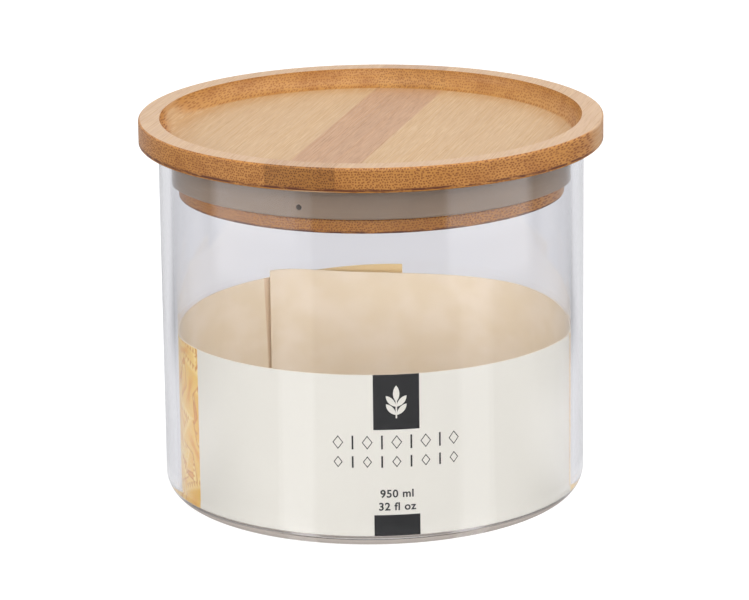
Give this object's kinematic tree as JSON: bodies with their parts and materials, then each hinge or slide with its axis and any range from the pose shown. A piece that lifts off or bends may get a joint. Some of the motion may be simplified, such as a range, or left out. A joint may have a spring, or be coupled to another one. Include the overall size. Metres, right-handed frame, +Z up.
{
  "type": "lidded glass canister",
  "caption": "Straight-sided glass food storage jar with a dished laminated bamboo lid, a silicone seal round its plug and a printed card rolled inside.",
  "frame": {"origin": "centre of the jar's base, on the surface it stands on", "axes": "+Z up the jar's axis, -Y towards the front of the card, +X to the right seen from the front"},
  "size_m": [0.129, 0.129, 0.1076],
  "materials": {
    "jar_glass": "clear gloss",
    "bamboo_light": "fine sanded, oiled",
    "bamboo_dark": "fine sanded, oiled",
    "bamboo_core": "fine sanded, oiled",
    "seal_silicone": "translucent matt silicone",
    "card": "uncoated print"
  },
  "bodies": {
    "jar": {"glass_body": "jar_glass"},
    "seal": {"seal_ring": "seal_silicone"},
    "lid": {"lid_top_strip_1": "bamboo_light", "lid_top_strip_2": "bamboo_light", "lid_top_strip_3": "bamboo_light", "lid_top_strip_4": "bamboo_dark", "lid_top_strip_5": "bamboo_light", "lid_top_strip_6": "bamboo_light", "lid_top_strip_7": "bamboo_light", "lid_core_strip_1": "bamboo_core", "lid_core_strip_2": "bamboo_core", "lid_core_strip_3": "bamboo_core", "lid_core_strip_4": "bamboo_core", "lid_core_strip_5": "bamboo_core", "lid_core_strip_6": "bamboo_core", "lid_core_strip_7": "bamboo_core", "lid_bottom_strip_1": "bamboo_light", "lid_bottom_strip_2": "bamboo_light", "lid_bottom_strip_3": "bamboo_light", "lid_bottom_strip_4": "bamboo_light", "lid_bottom_strip_5": "bamboo_light", "lid_bottom_strip_6": "bamboo_light"},
    "insert": {"label_insert": "card"}
  },
  "joints": [
    {"name": "lid_lift", "type": "slide", "parent": "jar", "child": "seal", "axis": [0, 0, 1], "range_m": [0, 0.12]},
    {"name": "lid_turn", "type": "hinge", "parent": "seal", "child": "lid", "pos_m": [0, 0, 0.09], "axis": [0, 0, 1], "continuous": true},
    {"name": "insert_lift", "type": "slide", "parent": "jar", "child": "insert", "axis": [0, 0, 1], "range_m": [0, 0.035]}
  ]
}
